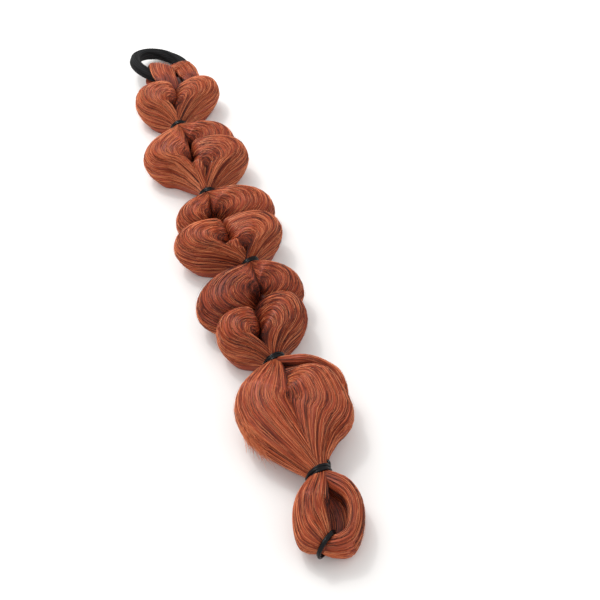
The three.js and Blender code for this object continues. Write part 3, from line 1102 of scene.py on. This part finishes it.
@dataclass
class LockSkin:
    """The skin of a lock, as a closed sleeve.

    From above, the outermost hair is half of a squared ellipse, and each other hair is the same
    curve drawn in towards the lock's middle. Where the lock is gathered, all hairs draw together.
    The section goes from the innermost hair to the outermost one as a squared oval, and its
    middle height and half thickness go over to those of the lock's ends.
    """

    lock: Lock
    seed: int
    rings: int = 50
    sides: int = 60
    outer_power: float = 2.1
    inner_power: float = 3.6
    underside_power: float = 1.45
    tilt: float = 2.5
    sooner: float = 0.7
    fade_power: float = 2.5
    shadow_from: float = 0.8
    full_shade: float = 0.6
    neck_share: float = 0.8
    neck_dome: float = 4.0
    dome_steps: int = 3
    ridges: tuple[Ridge, ...] = (Ridge(12, 0.16, 0.4, 60.0), Ridge(28, 0.1, 0.6, 40.0))

    @property
    def along(self) -> Array:
        """Places of the rings: 1 at the start, 0 at the turn, -1 at the end, closer near the ends."""
        return np.sin(math.pi / 2 * np.linspace(1, -1, self.rings))

    @property
    def side(self) -> int:
        """Which way the lock is pulled: 1 to the right and -1 to the left."""
        return 1 if self.lock.turn.x > self.lock.middle.x else -1

    @property
    def shadow(self) -> Array:
        """Painted shadow along the lock: its own painted shade, more towards ends that go under, over 1
        in round ends.
        """
        lock, along = self.lock, self.along
        ends = np.where(along > 0, lock.start_as.value.painted_dark, lock.end_as.value.painted_dark)
        painted_dark = np.pad(smooth(self.shadow_from, 1.0, np.abs(along)) * ends, self.dome_steps, mode="edge")
        beyond = np.pad(np.zeros(self.rings), self.dome_steps, mode="linear_ramp", end_values=1.0)
        return lock.shade / self.full_shade + painted_dark + beyond**2

    def section(self) -> Array:
        """Points evenly spaced on the squared oval of the section, which has three powers.

        Returns:
            Shares across, from -1 at the innermost hair to 1 at the outermost, and up.
        """
        lock = self.lock
        half_width = math.dist(lock.turn, lock.middle) * (1 - lock.inner) / 2
        angle = self.side * TURN * np.arange(OUTLINE_STEPS) / OUTLINE_STEPS
        oval = np.stack([np.cos(angle), np.sin(angle)], axis=-1)
        top = np.where(oval[:, 0] < 0, self.inner_power, self.outer_power)
        power = 2 / np.where(oval[:, 1] > 0, top, self.underside_power)
        size = np.array([half_width, (lock.crest - lock.floor) / 2])
        squared = np.sign(oval) * np.abs(oval) ** power[:, None]
        return evenly_round((squared * size)[None], self.sides)[0] / size

    def ending(self, kind: End, gather: Gather) -> Ending:
        """How one end of the lock lies, at the band where it is gathered by one.

        Args:
            kind: how the lock ends.
            gather: the gathered place there.

        Returns:
            The end's sizes.
        """
        if kind is not End.GATHERED:
            return kind.value
        return kind.value._replace(
            height=gather.z, half=self.neck_share * gather.radius, dome=self.neck_dome)

    def bare(self) -> Skin:
        """The lock's skin without ridges, as the class describes it.

        Returns:
            The skin.
        """
        lock = self.lock
        along = self.along[:, None]
        near, first = np.abs(along), along > 0
        angle = math.pi / 2 * along
        power = 2 / np.where(first, lock.upper, lock.lower)
        out = np.cos(angle).clip(0) ** power
        over = np.sign(angle) * np.abs(np.sin(angle)) ** power
        start, turn, end, middle = (np.array(s) for s in (lock.start, lock.turn, lock.end, lock.middle))
        centre = (start + end) / 2
        outline = centre + out * (turn - centre) + over * (start - centre)
        across, up = self.section().T
        share = mix(lock.inner, 1.0, (1 + across) / 2)
        flat = mix(middle, outline[:, None], share[:, None])
        gathers = [BANDS[lock.bubble - 1], BANDS[lock.bubble]]
        endings = [self.ending(kind, g) for kind, g in zip((lock.start_as, lock.end_as), gathers)]
        gathered = np.where(first, lock.start_as is End.GATHERED, lock.end_as is End.GATHERED)
        sooner = mix(self.sooner, 1.0, share)
        drawn = smooth(np.where(first, lock.start_draw, lock.end_draw * sooner), 1.0, near)
        ways = (self.side, -self.side if lock.comes_back else self.side)
        neck = np.where(first[..., None], *[self.neck(g, way * across) for g, way in zip(gathers, ways)])
        flat = mix(flat, neck, (gathered * drawn)[..., None])
        ending = np.where(first, np.array(endings[0]), np.array(endings[1]))
        fade = np.where(gathered, drawn, near**self.fade_power)
        height = mix((lock.crest + lock.floor) / 2 + self.tilt * over, ending[:, :1], fade)
        half = mix((lock.crest - lock.floor) / 2, ending[:, 1:2], fade)
        upright = np.maximum(height + half * up, 0)
        points = np.concatenate([flat, upright[..., None]], axis=-1)
        return Skin(domed(points, endings[0].dome, endings[1].dome, self.dome_steps))

    def neck(self, gather: Gather, across: Array) -> Array:
        """Places from above where a section is gathered, on the slant of the band."""
        shift = self.neck_share * gather.radius * across
        return np.stack([gather.x + shift, gather.y + gather.slope * shift], axis=-1)

    @cached_property
    def height(self) -> Array:
        """Height of the ridges on the lock."""
        return ridged(self.bare(), self.ridges, self.seed)

    @cached_property
    def skin(self) -> Skin:
        """The skin with its ridges."""
        return self.bare().raised(self.height)


@dataclass
class HairStrand:
    """One strand: a slim core down to the neck above the end bubble, and the locks pulled out of it."""

    plait: Plait
    strand: Strand
    seed: int
    locks: Sequence[LockSkin]
    stations: int = 120
    sides: int = 36
    core_end: float = 57.0
    core_share: float = 0.3
    # Painted shade over the whole core, and the least and most painted shade on the skins
    core_painted_shade: float = 2.0
    painted_shade_from: float = -0.5
    painted_shade_to: float = 3.0
    dome: float = 2.0
    dome_steps: int = 3
    ridges: tuple[Ridge, ...] = (
        Ridge(9, 0.4, 0.5, 150.0), Ridge(17, 0.35, 0.6, 95.0), Ridge(27, 0.25, 0.7, 70.0),
    )

    def core(self) -> Skin:
        """The strand's inner run: its own skin, drawn in towards the middle line of the gathers.

        Returns:
            The slim skin.
        """
        places = self.plait.places(self.strand, self.stations)
        places = places[places > self.core_end]
        points = self.plait.sections(self.strand, places, self.sides)
        axis = np.stack([self.plait.spine(places), places, self.plait.gather_z(places)], axis=-1)
        slim = mix(axis[:, None], points, self.core_share)
        return Skin(domed(slim, self.dome, self.dome, self.dome_steps))

    def build(self, maker: Maker, material: bpy.types.Material) -> None:
        """Makes the core and the locks as one piece.

        Args:
            maker: makes the piece.
            material: finish of the skins.
        """
        core = self.core()
        height = ridged(core, self.ridges, self.seed)
        # Each skin goes with its painted shade: the core's own, a lock's painted shadow, and more in the
        # ridges' valleys
        parts = [(core.raised(height), self.core_painted_shade - height)]
        parts += [(lock.skin, lock.shadow[:, None] - lock.height) for lock in self.locks]
        # creases gathers the painted shade of each skin
        points, flows, creases, quads, triangles = [], [], [], [], []
        first = 0
        for number, (skin, depth) in enumerate(parts):
            faces = sleeve_faces(*skin.points.shape[:2], looped=False)
            points.append(skin.points.reshape(-1, 3))
            flow = skin.flow(FLOW_START * (FLOWS_A_STRAND * self.seed + number))
            flows.append(flow.reshape(-1, 3))
            creases.append(np.clip(depth, self.painted_shade_from, self.painted_shade_to).ravel())
            quads.append(faces.quads + first)
            triangles.append(faces.triangles + first)
            first += depth.size
        maker.piece(
            f"hair_{self.strand.node}", np.concatenate(points),
            Faces(np.concatenate(quads), np.concatenate(triangles)), material, "synthetic_hair",
            [self.strand.node], flow=np.concatenate(flows), crease=np.concatenate(creases),
        )


class HairSet(NamedTuple):
    """A set of single hairs: how far apart they lie, their radius, and how they leave the lock.

    Lift is how far off the lock they go, wander how far round it they stray, in turns, and loose
    the share of them with a free end.
    """

    apart: float
    radius: float
    lift: float
    wander: float
    loose: float


# Real fibres are about a fifth of this width, too fine to show, so fewer and coarser ones are drawn
LAID = HairSet(0.35, 0.155, 0.3, 0.012, 0.25)
STRAY = HairSet(9.0, 0.07, 1.2, 0.03, 0.8)


@dataclass
class SingleHairs:
    """Single hairs that lie on skins and run with them, with some that stray off."""

    name: str
    skins: Sequence["LockSkin | FoldSkin"]
    seed: int
    sets: tuple[HairSet, ...] = (LAID, STRAY)
    steps: int = 27
    turn_from: float = -0.08
    turn_to: float = 0.46
    short_by: float = 0.35
    wander_cycles: tuple[float, float] = (0.4, 1.4)
    lift_shares: tuple[float, float] = (0.2, 1.4)
    radius_shares: tuple[float, float] = (0.6, 1.2)
    end_power: float = 0.25
    end_sunk: float = 0.6
    end_radius: float = 0.6
    middle_tone: float = 0.5
    spread: float = 0.95
    fleck_cycles: tuple[float, float] = (1.2, 4.0)
    fleck_tone: float = 0.42
    end_painted_shade: float = 0.6
    painted_rim_light: float = 0.15
    rim_turn: float = 0.06
    seam_painted_shade: float = 0.9
    seam_turn: float = 0.3

    def build(self, maker: Maker, material: bpy.types.Material) -> None:
        """Makes the single hairs as one piece.

        Args:
            maker: makes the piece.
            material: finish of the single hairs.
        """
        draw = np.random.default_rng(self.seed)
        laid = [self.lay(skin, kind, draw) for skin in self.skins for kind in self.sets]
        maker.hairs(self.name, *[np.concatenate(column) for column in zip(*laid)], material)

    @staticmethod
    def waves(cycles: tuple[float, float], along: Array, n: int, draw: np.random.Generator) -> Array:
        """Sine waves along n hairs, each with its own number of cycles and its own start."""
        return np.sin(TURN * (draw.uniform(*cycles, (n, 1)) * along + draw.uniform(size=(n, 1))))

    def lay(self, laid_on: "LockSkin | FoldSkin", kind: HairSet, draw: np.random.Generator
            ) -> tuple[Array, Array, Array, Array]:
        """Lays hairs along a skin: each keeps its place round it, but for a slow wander.

        A hair's tone is its own, plus a slow wave along it and a painted rim light on the outermost
        hairs, less painted shade by the seam and painted shadow at the ends.

        Args:
            laid_on: the lock or fold.
            kind: the set of hairs.
            draw: source of random numbers.

        Returns:
            Centres, ways out, radii and tones along the hairs.
        """
        skin = laid_on.skin
        n = int(skin.girth.max() * (self.turn_to - self.turn_from) / kind.apart)
        round_end = laid_on.dome_steps
        last_row = len(skin.points) - 1
        middle = np.linspace(round_end, last_row - round_end, self.steps - 2 * round_end)
        one_each = np.arange(round_end)
        along = np.concatenate([one_each, middle, last_row - one_each[::-1]]) / last_row
        short = draw.uniform(size=(2, n)) < kind.loose
        first, last = draw.uniform(0, self.short_by, (2, n)) * short
        row = mix(first[:, None], 1 - last[:, None], along) * last_row
        place = (np.arange(n) + draw.uniform(-0.5, 0.5, n)) / n
        wave = self.waves(self.wander_cycles, along, n, draw)
        fleck = self.waves(self.fleck_cycles, along, n, draw)
        turn = mix(self.turn_from, self.turn_to, place)[:, None] + kind.wander * wave
        points, normals = skin.at(row, laid_on.side * turn)
        edge = np.sin(math.pi * along).clip(0) ** self.end_power
        lift = kind.lift * mix(-self.end_sunk, 1.0, edge) * draw.uniform(*self.lift_shares, (n, 1))
        thick = draw.uniform(*self.radius_shares, (n, 1))
        radius = kind.radius * thick * mix(self.end_radius, 1.0, edge)
        # Painted shadow from the skin, darkest where the hairs go under at the ends
        painted_dark = np.interp(row, np.arange(len(skin.points)), laid_on.shadow)
        # Painted rim light: the outermost hairs are drawn lighter, as if light shone through them
        rim_light = self.painted_rim_light * np.exp(-(turn / self.rim_turn) ** 2)
        # Painted shade on the innermost hairs, beside the seam where the next lock shades them
        seam = self.seam_painted_shade * smooth(self.seam_turn, self.turn_to, turn)
        own = mix(self.middle_tone, draw.uniform(size=(n, 1)), self.spread)
        tone = own + self.fleck_tone * fleck + rim_light - seam - self.end_painted_shade * painted_dark
        centres = points + lift[..., None] * normals
        centres[..., 2] = np.maximum(centres[..., 2], radius)
        return centres, normals, radius, tone


@dataclass
class FrayedEnds:
    """Free ends of hairs that leave a lock where it bends in, and go straight on."""

    laid_on: LockSkin
    seed: int
    count: int = 400
    steps: int = 7
    row_from: float = 0.53
    row_to: float = 0.6
    rows_ahead: float = 0.5
    turn_half: float = 0.1
    longest: float = 16.0
    shortest_share: float = 0.35
    spread: float = 0.16
    radius: float = 0.17
    taper: float = 0.6
    tones: tuple[float, float] = (0.5, 1.0)

    def build(self, maker: Maker, material: bpy.types.Material) -> None:
        """Makes the ends: each goes along the lock's own hair, then spreads with the square of the way.

        Args:
            maker: makes the piece.
            material: finish of the single hairs.
        """
        draw = np.random.default_rng(self.seed)
        skin = self.laid_on.skin
        row = draw.uniform(self.row_from, self.row_to, (self.count, 2)) * (len(skin.points) - 1)
        row[:, 1] = row[:, 0] + self.rows_ahead
        turn = draw.uniform(-self.turn_half, self.turn_half, (self.count, 1)).repeat(2, axis=1)
        points, normals = skin.at(row, self.laid_on.side * turn)
        ahead = unit(points[:, 1:] - points[:, :1])
        way = np.linspace(0, 1, self.steps)[None, :, None]
        length = draw.uniform(self.shortest_share, 1.0, (self.count, 1, 1)) * self.longest
        aside = draw.normal(0, self.spread, (self.count, 1, 3)) * way**2
        centres = points[:, :1] + length * way * (ahead + aside)
        radius = self.radius * (1 - self.taper * way[..., 0]) * np.ones((self.count, 1))
        centres[..., 2] = np.maximum(centres[..., 2], radius)
        out = np.broadcast_to(normals[:, :1], centres.shape)
        tone = draw.uniform(*self.tones, (self.count, 1)).repeat(self.steps, axis=1)
        maker.hairs("frayed_ends", centres, out, radius, tone, material)


# Tie, folds and elastics


@dataclass
class HairTie:
    """The black knitted tie: a round band bent into a ring, tipped up on the folds of hair."""

    x: float = -8.0
    y: float = 480.0
    ring_radius: float = 21.0
    band_radius: float = 4.8
    near_side_up: float = 12.0
    left_side_up: float = 17.0
    rows: int = 200
    sides: int = 80
    ribs: int = 20
    rib_height: float = 0.45
    stitches: int = 64
    stitch_height: float = 0.16
    rib_power: float = 0.8
    creases: int = 5
    crease_depth: float = 0.9
    crease_power: float = 0.5
    crease_sway: float = 1.1
    crease_lead: float = 0.6

    def __post_init__(self) -> None:
        """Works out where the ring's middle is, and how the ring is tipped."""
        low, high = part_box("hair_tie")
        self.middle = np.array([self.x, self.y, (low[2] + high[2]) / 2 / MM])
        tip, roll = math.radians(-self.near_side_up), math.radians(self.left_side_up)
        self.tipped = np.array(Matrix.Rotation(tip, 3, "X") @ Matrix.Rotation(roll, 3, "Y"))

    def near(self, round_ring: Array, over: Array, distance: Array) -> Array:
        """Points at a distance from the band's own middle line.

        Args:
            round_ring: angle round the ring, from the near side to the right.
            over: angle round the band, from the outside up and over.
            distance: distance from the band's middle line.

        Returns:
            The points.
        """
        reach = self.ring_radius + distance * np.cos(over)
        flat = np.stack(np.broadcast_arrays(
            reach * np.sin(round_ring), -reach * np.cos(round_ring), distance * np.sin(over)), axis=-1)
        return flat @ self.tipped.T + self.middle

    def build(self, maker: Maker, material: bpy.types.Material) -> None:
        """Makes the tie: ribs along the band, each a row of small stitches, every other row shifted.

        A few long creases wind round the band, each a narrow valley where the root of |cos| is low.

        Args:
            maker: makes the piece.
            material: finish of the knitted cotton.
        """
        ring = (TURN * np.arange(self.rows) / self.rows)[:, None]
        over = -TURN * np.arange(self.sides) / self.sides
        rib = np.abs(np.cos(self.ribs / 2 * over)) ** self.rib_power
        shift = math.pi * np.floor(self.ribs * over / TURN)
        stitch = rib * np.cos(self.stitches * ring + shift)
        raised = self.rib_height * (rib - 1) + self.stitch_height * (stitch - 1) / 2
        sway = self.crease_sway * np.sin(2 * ring + self.crease_lead)
        wind = self.creases / 2 * over + sway + ring
        crease = self.crease_depth * (np.abs(np.cos(wind)) ** self.crease_power - 1)
        points = self.near(ring, over, self.band_radius + raised + crease)
        # Share of painted sheen: 1 on the raised threads, down to painted shade in the valleys and
        # creases
        share = np.clip(1 + (raised + crease) / (self.rib_height + self.stitch_height), 0, 1)
        maker.piece("knitted_tie", points, sleeve_faces(self.rows, self.sides, looped=True), material,
                    "tie_cotton", ["hair_tie"], raised=share.ravel())


class FoldRow(NamedTuple):
    """A lock folded over the tie: where it crosses, half its width, where it begins and lands."""

    round_ring: float
    half_width: float
    over_from: float
    landing: tuple[float, float, float]
    half_width_there: float


FOLDS = (
    FoldRow(41, 13, 215, (10.5, 446, 22), 7),
    FoldRow(-12, 10.2, 262, (-9, 444, 26), 9),
)


@dataclass
class FoldSkin:
    """The skin of a lock that is folded over the tie and goes down into the first bubble."""

    tie: HairTie
    row: FoldRow
    seed: int
    side: int = 1
    half_thickness: float = 3.0
    gap: float = 0.5
    over_to: float = 60.0
    bend_steps: int = 24
    bend_kept: int = 3
    edge_turn: float = 0.01
    narrows_from: float = 0.4
    painted_shadow_from: float = 0.75
    rings: int = 72
    sides: int = 64
    run_on: float = 9.0
    dome_steps: int = 0
    ridges: tuple[Ridge, ...] = (Ridge(13, 0.5, 0.5, 60.0), Ridge(23, 0.4, 0.5, 40.0))

    @property
    def shadow(self) -> Array:
        """Painted shadow along the fold: 1 at the end that goes under, and 0 before it."""
        return smooth(self.painted_shadow_from, 1.0, np.linspace(0, 1, self.rings))

    @cached_property
    def skin(self) -> Skin:
        """A flat oval carried round the band, and from there to where it lands."""
        row = self.row
        rest = self.tie.band_radius + self.gap + self.half_thickness
        bend = np.radians(np.linspace(row.over_from, self.over_to, self.bend_steps))
        wound = self.tie.near(np.radians(row.round_ring), bend, rest)
        edge = self.tie.near(np.radians(row.round_ring) + self.edge_turn, bend, rest)
        landing = np.array(row.landing)
        deep = landing + np.array([0, -self.run_on, -self.half_thickness])
        halfway = (wound[-1] + landing) / 2
        path = through(np.vstack([wound[::self.bend_kept], halfway, landing, deep]), self.rings)
        side = unit(edge - wound).mean(axis=0)
        share = np.linspace(0, 1, self.rings)[:, None, None]
        half = mix(row.half_width, row.half_width_there, smooth(self.narrows_from, 1.0, share))
        along = unit(np.gradient(path, axis=0))
        across = unit(side - (along @ side)[:, None] * along)
        up = np.cross(across, along)
        angle = (TURN * np.arange(self.sides) / self.sides)[:, None]
        oval = half * np.cos(angle) * across[:, None] - self.half_thickness * np.sin(angle) * up[:, None]
        bare = Skin(path[:, None] + oval)
        return bare.raised(ridged(bare, self.ridges, self.seed))

    def build(self, maker: Maker, material: bpy.types.Material, number: int) -> None:
        """Makes the fold as one piece.

        Args:
            maker: makes the piece.
            material: finish of the skins.
            number: the fold's number, from 1.
        """
        shape = self.skin.points.shape[:2]
        flow = self.skin.flow(FLOW_START * (FOLD_FLOW + number))
        # The fold's skin carries its painted shadow, which darkens its tone
        depth = np.broadcast_to(self.shadow[:, None], shape)
        maker.piece(f"fold_{number}", self.skin.points, sleeve_faces(*shape, looped=False), material,
                    "synthetic_hair", flow=flow, crease=depth)


@dataclass
class SmallElastic:
    """A thin rubber band wound a few times round the gathered hair."""

    name: str
    gather: Gather
    turns: int = 3
    cord: float = 1.05
    rise: float = 0.85
    crossing: float = 0.25
    rows: int = 240
    sides: int = 10

    def build(self, maker: Maker, material: bpy.types.Material) -> None:
        """Makes the band: one closed cord that goes round several times while it crosses and returns.

        Args:
            maker: makes the piece.
            material: finish of the rubber.
        """
        g = self.gather
        t = TURN * np.arange(self.rows) / self.rows
        angle = self.turns * t
        drift = (g.width / 2 - self.cord) * np.cos(t)
        radius = g.radius + self.cord * (self.rise + self.crossing * np.sin(t * (self.turns + 1)))
        x, z = radius * np.cos(angle), radius * np.sin(angle)
        path = np.stack([g.x + x, g.y + drift + g.slope * x, g.z + z], axis=-1)
        out = np.stack([np.cos(angle), 0 * angle, np.sin(angle)], axis=-1)
        looped = np.concatenate([path[-1:], path, path[:1]])[None]
        outs = np.concatenate([out[-1:], out, out[:1]])[None]
        rings = tubes(looped, outs, np.full(looped.shape[:2], self.cord), self.sides)[0, 1:-1]
        maker.piece(f"wound_{self.name}", rings, sleeve_faces(self.rows, self.sides, looped=True),
                    material, "elastic_rubber", [self.name])


@dataclass
class CordEnd:
    """The free end of a small elastic, which sticks out beside its band and tapers."""

    start: tuple[float, float, float] = (15.5, 60.5, 19.5)
    tip: tuple[float, float, float] = (17.0, 67.5, 20.5)
    radius: float = 1.1
    bend: float = 1.0
    taper: float = 0.5
    taper_power: int = 4
    steps: int = 12
    sides: int = 12

    def build(self, maker: Maker, material: bpy.types.Material) -> None:
        """Makes the end, bent a little outward halfway by half a sine wave.

        Args:
            maker: makes the piece.
            material: finish of the rubber.
        """
        way = np.linspace(0, 1, self.steps)[None, :, None]
        out = np.array([1.0, 0, 0])
        straight = mix(np.array(self.start), np.array(self.tip), way)
        centres = straight + self.bend * np.sin(math.pi * way) * out
        radius = self.radius * (1 - self.taper * way[..., 0] ** self.taper_power)
        rings = tubes(centres, np.broadcast_to(out, centres.shape), radius, self.sides)[0]
        maker.piece("elastic_free_end", rings, sleeve_faces(self.steps, self.sides, looped=False),
                    material, "elastic_rubber")


# Stage


class Lamp(NamedTuple):
    """A square lamp that faces the object: its name, power in watts, size and place in metres."""

    name: str
    watts: float
    size: float
    place: tuple[float, float, float]


@dataclass
class Studio:
    """A pale floor, soft light from all round and above, and the camera."""

    eye: tuple[float, float, float] = (-135.8, -672.4, 787.4)
    look: tuple[float, float, float] = (0.168, 0.620, -0.766)
    focal_px: float = 1427.3
    frame_px: float = 600.0
    sensor: float = 36.0
    floor_half: float = 6.0
    paper: str = "#F4F3F1"
    paper_roughness: float = 0.9
    paper_specular: float = 0.1
    sky: float = 0.9
    lamps: tuple[Lamp, ...] = (
        Lamp("key", 9.0, 0.9, (-0.35, 0.75, 1.1)),
        Lamp("glint", 2.5, 0.12, (-0.3, 0.55, 1.1)),
    )

    def build(self) -> None:
        """Makes the floor, lights and camera."""
        self.floor()
        self.light()
        self.camera()

    def floor(self) -> None:
        """A flat square of pale paper under the object."""
        h = self.floor_half
        mesh = bpy.data.meshes.new("floor")
        mesh.from_pydata([(-h, -h, 0), (h, -h, 0), (h, h, 0), (-h, h, 0)], [], [(0, 1, 2, 3)])
        material = finish_with(new_material("matt_paper"), {
            "Base Color": linear(self.paper), "Roughness": self.paper_roughness,
            "Specular IOR Level": self.paper_specular})
        mesh.materials.append(material)
        floor = bpy.data.objects.new("floor", mesh)
        bpy.context.scene.collection.objects.link(floor)

    def light(self) -> None:
        """White light from all round, a large soft lamp above and behind, and a small one for glints."""
        world = bpy.data.worlds.new("studio")
        world.use_nodes = True
        background = world.node_tree.nodes["Background"]
        background.inputs["Color"].default_value = (1, 1, 1, 1)
        background.inputs["Strength"].default_value = self.sky
        scene = bpy.context.scene
        scene.world = world
        scene.view_settings.view_transform = "Standard"
        for lamp in self.lamps:
            data = bpy.data.lights.new(lamp.name, "AREA")
            data.energy = lamp.watts
            data.size = lamp.size
            placed = bpy.data.objects.new(lamp.name, data)
            placed.location = lamp.place
            placed.rotation_mode = "QUATERNION"
            placed.rotation_quaternion = (-Vector(lamp.place)).to_track_quat("-Z", "Y")
            scene.collection.objects.link(placed)

    def camera(self) -> None:
        """The camera, level, with the focal length given in pixels of the frame."""
        data = bpy.data.cameras.new("camera")
        data.sensor_width = self.sensor
        data.lens = self.sensor * self.focal_px / self.frame_px
        camera = bpy.data.objects.new("camera", data)
        camera.location = Vector(self.eye) * MM
        camera.rotation_mode = "QUATERNION"
        camera.rotation_quaternion = Vector(self.look).to_track_quat("-Z", "Y")
        bpy.context.scene.collection.objects.link(camera)
        bpy.context.scene.camera = camera


def main() -> None:
    logging.basicConfig(level=logging.INFO, format="%(name)s: %(message)s")
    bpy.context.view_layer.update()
    maker = Maker()
    hair = HairFinish()
    Studio().build()
    plait = Plait()
    skins = hair.streaked("copper_braiding_hair")
    hairs = hair.single("copper_single_hair")
    locks = [LockSkin(lock, seed) for seed, lock in enumerate(LOCKS)]
    for seed, strand in enumerate(Strand, start=1):
        own = [lock for lock in locks if lock.lock.strand is strand]
        HairStrand(plait, strand, seed, own).build(maker, skins)
    for bubble in range(1, len(BUBBLES) + 1):
        own = [lock for lock in locks if lock.lock.bubble == bubble]
        SingleHairs(f"single_hairs_{bubble}", own, BUBBLE_SEED + bubble).build(maker, hairs)
    bent_in = next(lock for lock in locks if lock.lock.bubble == LOOSE_BUBBLE and lock.side < 0)
    FrayedEnds(bent_in, FRAY_SEED).build(maker, hairs)
    tie = HairTie()
    tie.build(maker, CottonFinish().material("black_knitted_cotton"))
    rubber = RubberFinish().material("black_stretched_rubber")
    for number, gather in enumerate(BANDS[1:], start=1):
        SmallElastic(f"small_elastic_{number}", gather).build(maker, rubber)
    CordEnd().build(maker, rubber)
    folds = [FoldSkin(tie, row, FOLD_SEED + number) for number, row in enumerate(FOLDS)]
    for number, fold in enumerate(folds, start=1):
        fold.build(maker, skins, number)
    fold_hairs = SingleHairs(
        "fold_hairs", folds, FOLD_HAIRS_SEED, turn_from=-0.02, turn_to=0.52, seam_painted_shade=0.0)
    fold_hairs.build(maker, hairs)


if __name__ == "__main__":
    main()
